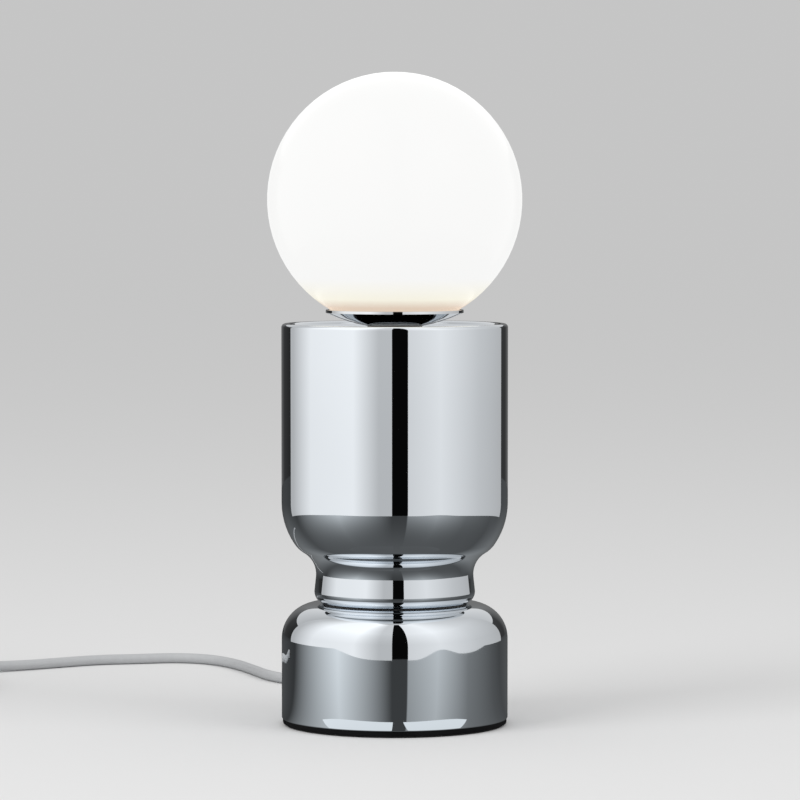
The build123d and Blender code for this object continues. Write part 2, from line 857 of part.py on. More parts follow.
def make_terminals():
    half_w = terminal_w / 2
    z1 = switch_wall + terminal_h
    blocks = []
    for side in (-1, 1):
        middle = side * terminal_place
        blocks.append(block(middle - terminal_l / 2, middle + terminal_l / 2, -half_w, half_w,
                            switch_wall, z1))
    return blocks


# Plug, made along X with its face at 0 and then laid along Y

plug_laid = Pos(plug_x, plug_y, plug_t / 2) * Rot(0, 0, 90)
pin_sides = [Pos(0, side * pin_spacing / 2, 0) * Rot(0, 90, 0) for side in (-1, 1)]


def plug_section(x, w, t):
    limit = min(plug_corner_r, t / 2 - touch_gap)
    return Plane(origin=(x, 0, 0), x_dir=(0, 1, 0), z_dir=(1, 0, 0)) * RectangleRounded(w, t, limit)


def make_plug():
    """Flat plug: an upright face part, shoulders drawn in to the lead and a ribbed tail."""
    face = plug_section(0, plug_w, plug_t)
    waist_end = plug_section(-plug_front_l, plug_w, plug_t)
    rear = plug_section(-plug_l, plug_rear_w, plug_rear_t)
    body = loft([face, waist_end], ruled=True) + loft([waist_end, rear], ruled=True)
    tail = Rot(0, -90, 0) * ribbed_tail(plug_l, plug_tail_l, plug_tail_d, cord_hole_r)
    for place in pin_sides:
        body -= place * disc(pin_core_d / 2 + running_fit, -pin_root_l, 0)
    return body + tail


def make_pin():
    core = disc(pin_core_d / 2, -pin_root_l, pin_sleeve_l)
    tip = disc(pin_d / 2, pin_sleeve_l, pin_l)
    return core + fillet(tip.edges().sort_by(Axis.Z)[-1:], pin_d / 4)


def make_pin_sleeve():
    return ring(pin_sleeve_d / 2, pin_core_d / 2 + running_fit, 0, pin_sleeve_l)


# Free cord: hand-chosen points on the table, each run joined by the largest fitting arc

floor_z = cord_r + touch_gap
coil_z = floor_z + tie_t + touch_gap
coil_top_z = coil_z + coil_pitch
coil_start = (coil_x + coil_outer_r, coil_y + cord_d, coil_z)
coil_end = (coil_x - coil_outer_r, coil_y + cord_d, coil_top_z)
inlet = switch_end - cord_grip_l / 2

lamp_route = [
    (0, exit_y, cord_axis_h),
    (0, 93, cord_axis_h),
    (-4, 110, 11),
    (-12, 125, 6.6),
    (-24, 137, 3.6),
    (-40, 145.5, floor_z),
    (-55, 153, floor_z),
    (-66, 170, floor_z),
    (-74, 194, floor_z),
    (-84, 220, floor_z),
    (-98, 241, floor_z),
    (-117, 249, floor_z),
    (-138, 243, floor_z),
    (-159, 239, floor_z),
    (-178, 226, floor_z),
    (-196, 213.5, floor_z),
    (-213, 203, 3.4),
    (-226, 188, 6.6),
    (switch_x, 171, switch_split_h),
    (switch_x, switch_y + inlet, switch_split_h),
]
switch_route = [
    (switch_x, switch_y - inlet, switch_split_h),
    (switch_x, 83, switch_split_h),
    (coil_start[0], 55, coil_z),
    coil_start,
]
plug_route = [
    coil_end,
    (coil_end[0], 46, coil_top_z),
    (plug_x, 62, plug_t / 2),
    (plug_x, plug_y - plug_l - plug_tail_l + cord_grip_l, plug_t / 2),
]


def cord_stretch(name, points):
    """A tube along the points, with each corner rounded as far as its runs allow."""
    spots = [Vector(p) for p in points]
    runs = [b - a for a, b in zip(spots, spots[1:])]
    radii = []
    for a, b in zip(runs, runs[1:]):
        half_turn = radians(a.get_angle(b)) / 2
        radii.append(0.45 * min(a.length, b.length) / tan(half_turn))
    path = FilletPolyline(*points, radius=radii)
    tube = sweep_tube(path, cord_r)
    ratio = tube.volume / (pi * cord_r ** 2 * path.length)
    print(name, "length", round(path.length, 1), "least radius", round(min(radii), 1),
          "volume over section times length", round(ratio, 4))
    return tube


def coil_point(turn):
    """Place on the coil after so many turns: in, half a turn up, and out again above."""
    half = 0.5
    in_r = coil_outer_r - coil_turns * coil_pitch
    if turn <= coil_turns:
        r = coil_outer_r - turn * coil_pitch
        z = coil_z
    elif turn < coil_turns + half:
        u = (turn - coil_turns) / half
        r = in_r - half * coil_pitch * (u - u * u)
        z = coil_z + coil_pitch * (3 * u * u - 2 * u ** 3)
    else:
        r = in_r + (turn - coil_turns - half) * coil_pitch
        z = coil_top_z
    angle = -2 * pi * turn
    return Vector(coil_x + r * cos(angle), coil_y + r * sin(angle), z)


def biarc(p0, t0, p1, t1):
    """Two tangent arcs from p0 along t0 to p1 along t1."""
    v = p1 - p0
    vt = v.dot(t0 + t1)
    bend = 2 * (1 - t0.dot(t1))
    d = (sqrt(vt * vt + bend * v.dot(v)) - vt) / bend
    middle = (p0 + p1 + (t0 - t1) * d) / 2
    first = TangentArc(p0, middle, tangent=t0)
    return [first, TangentArc(middle, p1, tangent=first % 1)]


def make_coil():
    """One unbroken tube through all the turns, with a straight end one diameter long."""
    step = 0.25
    nudge = 1e-4
    last = 2 * coil_turns + 0.5
    turns = [i * step for i in range(round(last / step) + 1)]
    places = [coil_point(t) for t in turns]
    ways = [(coil_point(t + nudge) - coil_point(t - nudge)).normalized() for t in turns]
    ways[0] = Vector(0, -1, 0)
    ways[-1] = Vector(0, 1, 0)
    edges = [Line(places[0] - ways[0] * cord_d, places[0])]
    for i in range(len(turns) - 1):
        edges += biarc(places[i], ways[i], places[i + 1], ways[i + 1])
    edges.append(Line(places[-1], places[-1] + ways[-1] * cord_d))
    path = Wire(edges)
    fine = [coil_point(i / 96) for i in range(round(last * 96) + 1)]
    gap = min((fine[j] - fine[i]).length for i in range(len(fine))
              for j in range(i + 72, len(fine)))
    print("cord_coil length", round(path.length, 1), "least gap to itself", round(gap - cord_d, 2))
    return sweep_tube(path, cord_r)


def make_tie():
    """Flat strap round the bundle of turns, at the side of the coil nearest the front."""
    in_r = coil_outer_r - (coil_turns + 0.25) * coil_pitch - cord_r
    out_r = coil_outer_r - coil_pitch / 4 + cord_r
    z0 = coil_z - cord_r - touch_gap
    z1 = coil_top_z + cord_r + touch_gap
    across = out_r - in_r + 2 * touch_gap
    inner = RectangleRounded(across, z1 - z0, tie_corner_r - tie_t)
    band = RectangleRounded(across + 2 * tie_t, z1 - z0 + 2 * tie_t, tie_corner_r) - inner
    middle = Plane(origin=(coil_x, coil_y - (in_r + out_r) / 2, (z0 + z1) / 2), x_dir=(0, 1, 0),
                   z_dir=(1, 0, 0))
    return extrude(middle * band, tie_w / 2, both=True)


os.makedirs("parts", exist_ok=True)

write("opal_globe", make_globe())
write("globe_mouth", make_globe_mouth())
write("globe_seal", make_seal())
write("globe_dish", make_dish())
write("globe_carrier", make_carrier())
write("carrier_springs", make_springs())
write("carrier_washer", ring(washer_d / 2, tube_hole_r, washer_z, nut_z))
write("carrier_nut", hex_nut(tube_nut_af, tube_hole_r, nut_z, nut_z + tube_nut_h))
write("top_gasket", make_gasket())
write("glass_base", make_glass_base())
write("glass_waist", make_glass_waist())
write("glass_drum", ring(body_r, glass_in_r, sweep_centre[1], roof_z))
write("glass_top", make_glass_top())
write("neck_collar", make_neck_collar())
write("threaded_tube", ring(tube_r, tube_bore / 2, tube_foot_z, tube_top_z))

write("holder_dome", make_dome())
write("holder_insert", make_insert())
write("holder_contact", make_contact())
write("holder_shell", make_shell())
write("holder_skirt", make_skirt())
write("live_lead", make_lead(-1))
write("neutral_lead", make_lead(1))

write("bulb_contact", disc(bulb_tip_d / 2, tip_z, insulator_z))
write("bulb_insulator", make_insulator())
write("bulb_cap", ring(bulb_cap_d / 2, bulb_cap_d / 2 - bulb_cap_t, cap_z, cap_top_z))
write("bulb_base", make_bulb_base())
write("bulb_board", disc(board_d / 2, bulb_base_z, bulb_base_z + board_t))
write("bulb_envelope", make_envelope())

write("felt_pad", disc(body_r - tray_inset - felt_inset, 0, felt_t))
write("foot_tray", make_tray())
write("tray_screws", [place * countersunk(0) for place in tray_screw_places()])
write("base_weight", make_weight())
write("cord_clamp", make_clamp())
write("clamp_screws", make_clamp_screws())
write("cord_bushing", make_bushing())
write("bushing_nut", make_bushing_nut())
write("inner_cord", make_inner_cord())

write("switch_lower_case", switch_laid * make_switch_case(False))
write("switch_upper_case", switch_laid * make_switch_case(True))
write("switch_rocker", switch_laid * make_rocker())
write("rocker_pin", switch_laid * pin_line(rocker_pin_d / 2))
write("switch_terminals", [switch_laid * part for part in make_terminals()])
write("switch_screws", [switch_laid * screw for screw in case_screws(0)])

write("plug_body", plug_laid * make_plug())
write("plug_pins", [plug_laid * place * make_pin() for place in pin_sides])
write("pin_sleeves", [plug_laid * place * make_pin_sleeve() for place in pin_sides])

write("lamp_lead", cord_stretch("lamp_lead", lamp_route))
write("switch_lead", cord_stretch("switch_lead", switch_route))
write("cord_coil", make_coil())
write("cord_tie", make_tie())
write("plug_lead", cord_stretch("plug_lead", plug_route))
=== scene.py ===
# %% [markdown]
# # A glass table lamp
# The lamp is an opal globe that glows, a chrome dish that it stands in, and a body of silvered
# glass with a narrow waist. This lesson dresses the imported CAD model: it keeps the model's sizes
# and places, and adds smooth meshes, real finishes, the cord as a soft curve, light and a camera.
# Only the waist of the glass is up to 1.7 mm higher than in the model, as the photograph shows it.

# %% Load the frame
import json
from math import atan2, ceil, cos, degrees, pi, radians, sin, sqrt

import bmesh
import bpy
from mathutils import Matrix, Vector


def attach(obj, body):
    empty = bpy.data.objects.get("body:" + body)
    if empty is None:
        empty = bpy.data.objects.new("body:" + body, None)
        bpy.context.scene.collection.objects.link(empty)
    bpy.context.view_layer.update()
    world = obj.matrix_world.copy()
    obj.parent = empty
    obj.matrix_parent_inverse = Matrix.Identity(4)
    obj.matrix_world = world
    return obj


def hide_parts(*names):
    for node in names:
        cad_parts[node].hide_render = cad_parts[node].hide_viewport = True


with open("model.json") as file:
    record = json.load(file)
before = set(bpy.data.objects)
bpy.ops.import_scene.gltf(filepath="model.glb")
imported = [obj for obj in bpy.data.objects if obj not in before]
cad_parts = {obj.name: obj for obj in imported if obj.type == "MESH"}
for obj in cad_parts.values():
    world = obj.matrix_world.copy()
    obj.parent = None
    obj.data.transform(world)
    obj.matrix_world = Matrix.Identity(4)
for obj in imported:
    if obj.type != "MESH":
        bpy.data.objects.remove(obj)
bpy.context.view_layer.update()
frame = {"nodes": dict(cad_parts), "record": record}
nodes = frame["nodes"]
scene = bpy.context.scene
scene.view_settings.view_transform = "Standard"
MM = 0.001

# %% [markdown]
# ## Camera
# The photograph was taken from nearly two metres away, level with the middle of the globe, with
# the camera tipped down by three degrees. A long lens keeps the drums' edges nearly straight, so
# the lens is about 180 mm on a 36 mm frame.

# %% Set up the camera
LENS_MM, SENSOR_MM = 180.7, 36
eye = Vector((0.0025, -1.891, 0.2485))
aim = Vector((0.0025, 0.0, 0.1533))
camera_data = bpy.data.cameras.new("lens")
camera_data.lens = LENS_MM
camera_data.sensor_width = SENSOR_MM
camera = bpy.data.objects.new("camera", camera_data)
camera.location = eye
camera.rotation_euler = (aim - eye).to_track_quat("-Z", "Y").to_euler()
scene.collection.objects.link(camera)
scene.camera = camera
print("camera is", round((aim - eye).length, 3), "m from the lamp's axis")

# %% [markdown]
# ## Finishes
# Every finish is a Principled shader, with its plain numbers set on the shader itself. What
# changes over a surface comes from three small node groups that many finishes share: a slow
# drift of colour, marks that dull a gloss, and a fine grain that a Bump node reads as height.

# %% Short ways to add a node
def math_node(tree, operation, first=None):
    """A Math node, with a plain number in its first socket where one is given."""
    node = tree.nodes.new("ShaderNodeMath")
    node.operation = operation
    if first is not None:
        node.inputs[0].default_value = first
    return node


def range_node(tree, low, high):
    """A Map Range node that reads values from low to high."""
    node = tree.nodes.new("ShaderNodeMapRange")
    node.inputs["From Min"].default_value = low
    node.inputs["From Max"].default_value = high
    return node


def ramp_node(tree, stops):
    """A colour ramp with (position, colour) stops."""
    node = tree.nodes.new("ShaderNodeValToRGB")
    elements = node.color_ramp.elements
    while len(elements) < len(stops):
        elements.new(0.5)
    for element, (position, colour) in zip(elements, stops):
        element.position = position
        element.color = (*colour, 1)
    return node


print("node helpers: math_node, range_node, ramp_node")

# %% Shared surface effects
def new_group(name, inputs, output, output_type):
    """An empty shader group with named sockets."""
    group = bpy.data.node_groups.new(name, "ShaderNodeTree")
    for label, kind, value in inputs:
        socket = group.interface.new_socket(label, in_out="INPUT", socket_type=kind)
        socket.default_value = value
    group.interface.new_socket(output, in_out="OUTPUT", socket_type=output_type)
    return group


def group_noise(group, detail, scale_socket):
    """A noise texture in the group, on Object coordinates, at the size that an input gives."""
    place = group.nodes.new("ShaderNodeTexCoord")
    noise = group.nodes.new("ShaderNodeTexNoise")
    noise.inputs["Detail"].default_value = detail
    group.links.new(place.outputs["Object"], noise.inputs["Vector"])
    group.links.new(scale_socket, noise.inputs["Scale"])
    return noise.outputs["Fac"]


def make_drift():
    """Colour that drifts a little lighter and darker."""
    group = new_group("colour_drift", [
        ("Colour", "NodeSocketColor", (0.8, 0.8, 0.8, 1)),
        ("Scale", "NodeSocketFloat", 40.0),
        ("Amount", "NodeSocketFloat", 0.1),
    ], "Colour", "NodeSocketColor")
    given = group.nodes.new("NodeGroupInput")
    result = group.nodes.new("NodeGroupOutput")
    spread = range_node(group, 0.3, 0.7)
    low = math_node(group, "SUBTRACT", 1)
    high = math_node(group, "ADD", 1)
    tint = group.nodes.new("ShaderNodeVectorMath")
    tint.operation = "SCALE"
    link = group.links.new
    link(group_noise(group, 4, given.outputs["Scale"]), spread.inputs["Value"])
    link(given.outputs["Amount"], low.inputs[1])
    link(given.outputs["Amount"], high.inputs[1])
    link(low.outputs[0], spread.inputs["To Min"])
    link(high.outputs[0], spread.inputs["To Max"])
    link(given.outputs["Colour"], tint.inputs[0])
    link(spread.outputs["Result"], tint.inputs["Scale"])
    link(tint.outputs["Vector"], result.inputs["Colour"])
    return group


def make_marks():
    """Roughness with faint smudges that dull it in places."""
    group = new_group("gloss_marks", [
        ("Roughness", "NodeSocketFloat", 0.1),
        ("Scale", "NodeSocketFloat", 60.0),
        ("Amount", "NodeSocketFloat", 0.05),
    ], "Roughness", "NodeSocketFloat")
    given = group.nodes.new("NodeGroupInput")
    result = group.nodes.new("NodeGroupOutput")
    spread = range_node(group, 0.45, 0.75)
    most = math_node(group, "ADD")
    link = group.links.new
    link(group_noise(group, 6, given.outputs["Scale"]), spread.inputs["Value"])
    link(given.outputs["Roughness"], most.inputs[0])
    link(given.outputs["Amount"], most.inputs[1])
    link(given.outputs["Roughness"], spread.inputs["To Min"])
    link(most.outputs[0], spread.inputs["To Max"])
    link(spread.outputs["Result"], result.inputs["Roughness"])
    return group


def make_grain():
    """Height of a fine grain, as on moulded plastic or a casting."""
    group = new_group("fine_grain", [("Scale", "NodeSocketFloat", 900.0)], "Height", "NodeSocketFloat")
    given = group.nodes.new("NodeGroupInput")
    result = group.nodes.new("NodeGroupOutput")
    group.links.new(group_noise(group, 3, given.outputs["Scale"]), result.inputs["Height"])
    return group


effects = {"drift": make_drift(), "marks": make_marks(), "grain": make_grain()}
print("shared effects:", ", ".join(sorted(effects)))

# %% A finish from those effects
GRAIN_HEIGHT = 0.0002


def finish(name, colour, roughness, metallic=0.0, drift=(40, 0.04), marks=(60, 0.05), grain=None,
           **sockets):
    """A Principled material. drift, marks and grain are (scale, amount) of the shared effects."""
    material = bpy.data.materials.new(name)
    material.use_nodes = True
    tree = material.node_tree
    shader = tree.nodes["Principled BSDF"]
    shader.inputs["Metallic"].default_value = metallic
    for socket, value in sockets.items():
        shader.inputs[socket.replace("_", " ")].default_value = value

    def effect(kind):
        node = tree.nodes.new("ShaderNodeGroup")
        node.node_tree = effects[kind]
        return node

    tinted = effect("drift")
    tinted.inputs["Colour"].default_value = (*colour, 1)
    tinted.inputs["Scale"].default_value, tinted.inputs["Amount"].default_value = drift
    tree.links.new(tinted.outputs["Colour"], shader.inputs["Base Color"])
    dulled = effect("marks")
    dulled.inputs["Roughness"].default_value = roughness
    dulled.inputs["Scale"].default_value, dulled.inputs["Amount"].default_value = marks
    tree.links.new(dulled.outputs["Roughness"], shader.inputs["Roughness"])
    if grain:
        grained = effect("grain")
        grained.inputs["Scale"].default_value = grain[0]
        bump = tree.nodes.new("ShaderNodeBump")
        bump.inputs["Strength"].default_value = grain[1]
        bump.inputs["Distance"].default_value = GRAIN_HEIGHT
        tree.links.new(grained.outputs["Height"], bump.inputs["Height"])
        tree.links.new(bump.outputs["Normal"], shader.inputs["Normal"])
    return material


finishes = {
    "chrome": finish("polished_chrome", (0.8, 0.82, 0.84), 0.03, 1.0, marks=(90, 0.03)),
    "silvered_glass": finish("silvered_glass", (0.79, 0.83, 0.87), 0.012, 1.0, drift=(12, 0.015),
                             marks=(50, 0.02), Coat_Weight=0.3),
    "black_enamel": finish("black_enamel", (0.004, 0.004, 0.0045), 0.5, grain=(1200, 0.05),
                           Specular_IOR_Level=0.1),
    "silicone": finish("clear_silicone", (0.78, 0.78, 0.76), 0.45),
    "felt": finish("black_felt", (0.03, 0.03, 0.03), 0.95, grain=(2500, 0.8)),
    "iron": finish("painted_iron", (0.06, 0.06, 0.062), 0.6, grain=(500, 0.5)),
    "zinc_steel": finish("zinc_plate", (0.66, 0.67, 0.68), 0.32, 1.0, marks=(300, 0.12)),
    "spring_steel": finish("spring_steel", (0.56, 0.56, 0.57), 0.25, 1.0, marks=(300, 0.1)),
    "white_plastic": finish("white_moulding", (0.83, 0.83, 0.81), 0.38, grain=(1500, 0.06)),
    "porcelain": finish("porcelain", (0.86, 0.85, 0.81), 0.16, Coat_Weight=0.5),
    "brass": finish("brass", (0.72, 0.53, 0.23), 0.3, 1.0, marks=(250, 0.12)),
    "nickel": finish("nickel_plate", (0.72, 0.7, 0.66), 0.24, 1.0, marks=(250, 0.1)),
    "black_glass": finish("black_glass", (0.015, 0.015, 0.016), 0.12),
    "aluminium": finish("board_aluminium", (0.78, 0.79, 0.8), 0.4, 1.0, marks=(300, 0.1)),
    "opal_plastic": finish("opal_plastic", (0.45, 0.45, 0.44), 0.35,
                           Emission_Color=(1.0, 0.95, 0.86, 1), Emission_Strength=0.55),
    "grey_plastic": finish("grey_moulding", (0.42, 0.43, 0.44), 0.45, grain=(1400, 0.12)),
    "black_plastic": finish("black_moulding", (0.018, 0.018, 0.019), 0.42, grain=(1400, 0.12)),
    "brown_wire": finish("brown_sleeve", (0.2, 0.08, 0.03), 0.4),
    "blue_wire": finish("blue_sleeve", (0.03, 0.12, 0.42), 0.4),
    "grey_cord": finish("grey_cord", (0.52, 0.53, 0.54), 0.34, drift=(300, 0.02), grain=(2500, 0.12)),
}
slot_of = {row["node"]: row["material_slot"] for row in frame["record"]["subparts"]}
for name, node in nodes.items():
    if slot_of[name] in finishes:
        node.material_slots[0].material = finishes[slot_of[name]]
# The collar between the two glasses shows as a fine dark line, so it is black.
nodes["neck_collar"].material_slots[0].material = finishes["black_plastic"]
print(len(finishes), "finishes made")

# %% [markdown]
# ## The cord
# The lead leaves the lamp through a ribbed strain relief at the back, sinks to the table and
# runs out of the view at the left. The rest, which the photograph doesn't show, is put away:
# an in-line switch, a coil in two layers with a tie, and a flat plug. A cord is a soft curve, so
# each stretch is one NURBS spline that the route's points guide, and order 3 rounds its corners.

# %% Lay the two stretches of cord
CORD_D = 0.0052


def cord_curve(name, points):
    """A round cord along one smooth spline, with the points as its control points."""
    curve = bpy.data.curves.new(name, "CURVE")
    curve.dimensions = "3D"
    curve.bevel_depth = CORD_D / 2
    curve.bevel_resolution = 6
    curve.resolution_u = 8
    curve.use_fill_caps = True
    spline = curve.splines.new("NURBS")
    spline.points.add(len(points) - 1)
    for place, point in zip(spline.points, points):
        place.co = (*point, 1)
    spline.order_u = 3
    spline.use_endpoint_u = True
    curve.materials.append(finishes["grey_cord"])
    cord = bpy.data.objects.new(name, curve)
    scene.collection.objects.link(cord)
    return cord


lamp_route = [
    (0, 0.0799, 0.014), (0, 0.093, 0.014), (-0.004, 0.110, 0.011), (-0.012, 0.125, 0.0066),
    (-0.024, 0.137, 0.0036), (-0.040, 0.1455, 0.0027), (-0.055, 0.153, 0.0027),
    (-0.066, 0.170, 0.0027), (-0.074, 0.194, 0.0027), (-0.084, 0.220, 0.0027),
    (-0.098, 0.241, 0.0027), (-0.117, 0.249, 0.0027), (-0.138, 0.243, 0.0027),
    (-0.159, 0.239, 0.0027), (-0.178, 0.226, 0.0027), (-0.196, 0.2135, 0.0027),
    (-0.213, 0.203, 0.0034), (-0.226, 0.188, 0.0066), (-0.231, 0.171, 0.009),
    (-0.231, 0.157, 0.009),
]
lamp_cord = cord_curve("lamp_cord", lamp_route)

COIL_X, COIL_Y = -0.258, 0.030
COIL_LOW, COIL_PITCH = 0.0036, 0.00575
COIL_R, COIL_TURNS, CLIMB = 0.039, 3, 0.5
POINTS_PER_TURN = 24


def coil_place(turn):
    """A control point of the coil: in along the table, half a turn up, and out again on top."""
    inner = COIL_R - COIL_TURNS * COIL_PITCH
    after = turn - COIL_TURNS
    rise = min(max(after / CLIMB, 0), 1)
    if after <= 0:
        r = COIL_R - turn * COIL_PITCH
    elif after < CLIMB:
        r = inner - CLIMB * COIL_PITCH * (rise - rise * rise)
    else:
        r = inner + (after - CLIMB) * COIL_PITCH
    r /= cos(pi / POINTS_PER_TURN)
    z = COIL_LOW + COIL_PITCH * (3 * rise ** 2 - 2 * rise ** 3)
    angle = -2 * pi * turn
    return (COIL_X + r * cos(angle), COIL_Y + r * sin(angle), z)


last_point = round((2 * COIL_TURNS + CLIMB) * POINTS_PER_TURN)
coil_points = [coil_place(i / POINTS_PER_TURN) for i in range(last_point + 1)]
stored_route = (
    [(-0.231, 0.099, 0.009), (-0.231, 0.083, 0.009), (-0.219, 0.055, 0.0036), (-0.219, 0.0352, 0.0036)]
    + coil_points
    + [(-0.297, 0.0352, 0.00935), (-0.297, 0.046, 0.00935), (-0.297, 0.062, 0.00685),
       (-0.297, 0.077, 0.00685)]
)
stored_cord = cord_curve("stored_cord", stored_route)
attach(lamp_cord, "lamp")
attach(stored_cord, "lamp")
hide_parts("lamp_lead")
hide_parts("switch_lead", "cord_coil", "plug_lead")
print("cord points:", len(lamp_route), "and", len(stored_route))

# %% [markdown]
# ## Turned pieces
# The globe, the dish and the body are all round, so each is drawn once as a half section and
# spun about the lamp's axis. The section itself is drawn with operators too: a vertex is
# extruded to make a straight line, and spun about a centre to make an arc. Sections are in
# millimetres, as radius and height.

# %% Draw a half section and spin it
ARC_STEP = radians(5)
ROUND_STEPS = 256
WELD, CAD_WELD = 1e-7, 1e-6


def draw_section(start, moves):
    """Edges of a half section in X and Z. A move is (r, z) for a line or (r, z, turn) for an arc."""
    bm = bmesh.new()
    tip = bm.verts.new((start[0], 0, start[1]))
    for move in moves:
        if len(move) == 2:
            tip = bmesh.ops.extrude_vert_indiv(bm, verts=[tip])["verts"][0]
            tip.co = (move[0], 0, move[1])
        else:
            turn = radians(move[2])
            steps = max(3, ceil(abs(turn) / ARC_STEP))
            spun = bmesh.ops.spin(bm, geom=[tip], cent=(move[0], 0, move[1]), axis=(0, -1, 0),
                                  angle=turn, steps=steps)
            tip = [v for v in spun["geom_last"] if isinstance(v, bmesh.types.BMVert)][0]
    return bm


def turn_piece(start, moves):
    """Spins a half section, given in millimetres, all the way round the lamp's axis."""
    bm = draw_section(start, moves)
    bmesh.ops.spin(bm, geom=bm.verts[:] + bm.edges[:], cent=(0, 0, 0), axis=(0, 0, 1),
                   angle=2 * pi, steps=ROUND_STEPS, use_merge=True)
    bmesh.ops.scale(bm, vec=(MM, MM, MM), verts=bm.verts)
    bmesh.ops.remove_doubles(bm, verts=bm.verts, dist=WELD)
    bmesh.ops.recalc_face_normals(bm, faces=bm.faces)
    return bm


def make_piece(name, bm, body, replaced, sharp_deg=32, material=None):
    """An object from a bmesh, with the finish of the piece that it stands for."""
    mesh = bpy.data.meshes.new(name)
    bm.to_mesh(mesh)
    bm.free()
    mesh.polygons.foreach_set("use_smooth", [True] * len(mesh.polygons))
    mesh.set_sharp_from_angle(angle=radians(sharp_deg))
    slot = slot_of[replaced[0]]
    mesh.materials.append(material or finishes[slot])
    piece = bpy.data.objects.new(name, mesh)
    scene.collection.objects.link(piece)
    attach(piece, body)
    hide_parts(*replaced)
    print(name, "has", len(mesh.polygons), "faces")
    return piece


print("sections turn in", ROUND_STEPS, "steps")

# %% [markdown]
# ## Silvered glass body
# Two blown glasses, silvered inside, so they look like chrome but with deeper, slightly blue
# reflections: a low drum with a round shoulder, and a tall one that narrows to a waist and stands
# on it with a bead. All the curves meet without a step, because a mirror shows every kink: a few
# tangent arcs are smoother than a subdivided cage here.

# %% Turn the lower glass
BODY_R, WALL, FOOT_Z, TOP_Z = 53.4, 3.0, 3.0, 189.43
SHOULDER_R, SHOULDER_Z, NECK_Z, NECK_IN_R = 16.5, 57.26, 57.76, 31.913
RIM_ROUND = 0.6
GLASS_SHARP = 40
inner_r = BODY_R - WALL
shoulder = (BODY_R - SHOULDER_R, SHOULDER_Z - SHOULDER_R)
base_moves = [
    (BODY_R - RIM_ROUND, FOOT_Z),
    (BODY_R - RIM_ROUND, FOOT_Z + RIM_ROUND, 90),
    (BODY_R, shoulder[1]),
    (*shoulder, 90),
    (NECK_IN_R, SHOULDER_Z),
    (NECK_IN_R, SHOULDER_Z - WALL),
    (shoulder[0], SHOULDER_Z - WALL),
    (*shoulder, -90),
    (inner_r, FOOT_Z),
]
make_piece("mirror_base", turn_piece((inner_r, FOOT_Z), base_moves), "lamp", ["glass_base"], GLASS_SHARP)

# %% Turn the upper glass
# From the bead up: centres of the bead, waist, corner and sweep, and degrees of taper and sweep.
BEAD_C, BEAD_FOOT, TAPER = (32.05, 62.9), (34.913, NECK_Z), 6.0
WAIST_C, CORNER_C, CORNER_R = (49.15, 71.07), (35.81, 93.387), 14.0
SWEEP_C, SWEEP = (18.4, 105.13), 34.0
# The top: a round edge, a narrow land, and a sunk floor with a hole for the tube.
EDGE_R, LAND, RECESS, CURVE_R, HOLE_R = 1.8, 0.6, 2.3, 4.0, 6.45
ROOF_T, ROOF_R = 3.4, 6.0
taper = radians(TAPER)
bead_deg = degrees(atan2(BEAD_C[1] - BEAD_FOOT[1], BEAD_FOOT[0] - BEAD_C[0]))
across, up = CORNER_C[0] - WAIST_C[0], CORNER_C[1] - WAIST_C[1]
waist_r = sqrt(across ** 2 + up ** 2) - CORNER_R
waist_deg = degrees(atan2(up, across))
taper_top = (WAIST_C[0] - waist_r * cos(taper), WAIST_C[1] - waist_r * sin(taper))
throat_r, corner_in = waist_r + WALL, CORNER_R - WALL
throat_c = NECK_IN_R + throat_r
throat_z = CORNER_C[1] - sqrt((corner_in + throat_r) ** 2 - (throat_c - CORNER_C[0]) ** 2)
throat_deg = degrees(atan2(CORNER_C[1] - throat_z, CORNER_C[0] - throat_c))
level = 1 - RECESS / (2 * CURVE_R)
fall = degrees(atan2(sqrt(1 - level ** 2), level))
land_end = BODY_R - EDGE_R - LAND
dip_r = land_end - 2 * CURVE_R * sin(radians(fall))
recess_z = TOP_Z - RECESS
cup_moves = [
    BEAD_FOOT,
    (*BEAD_C, bead_deg + TAPER),
    taper_top,
    (*WAIST_C, waist_deg - 180 - TAPER),
    (*CORNER_C, 180 - waist_deg - SWEEP),
    (*SWEEP_C, SWEEP),
    (BODY_R, TOP_Z - EDGE_R),
    (BODY_R - EDGE_R, TOP_Z - EDGE_R, 90),
    (land_end, TOP_Z),
    (land_end, TOP_Z - CURVE_R, fall),
    (dip_r, recess_z + CURVE_R, -fall),
    (HOLE_R, recess_z),
    (HOLE_R, recess_z - ROOF_T),
    (inner_r - ROOF_R, recess_z - ROOF_T),
    (inner_r - ROOF_R, recess_z - ROOF_T - ROOF_R, -90),
    (inner_r, SWEEP_C[1]),
    (*SWEEP_C, -SWEEP),
    (*CORNER_C, throat_deg - 180 + SWEEP),
    (throat_c, throat_z, 180 - throat_deg),
    (NECK_IN_R, NECK_Z),
]
make_piece("mirror_cup", turn_piece((NECK_IN_R, NECK_Z), cup_moves), "lamp",
           ["glass_waist", "glass_drum", "glass_top"], GLASS_SHARP)

# %% [markdown]
# ## Opal globe
# White opal glass spreads the bulb's light so evenly that the globe looks flat white, with a
# warmer band low down, where the glass meets the dish and less light comes through. The glow is
# in the material: an emission colour that follows the height on the globe, over a dark base, so
# that light from outside hardly shades it.

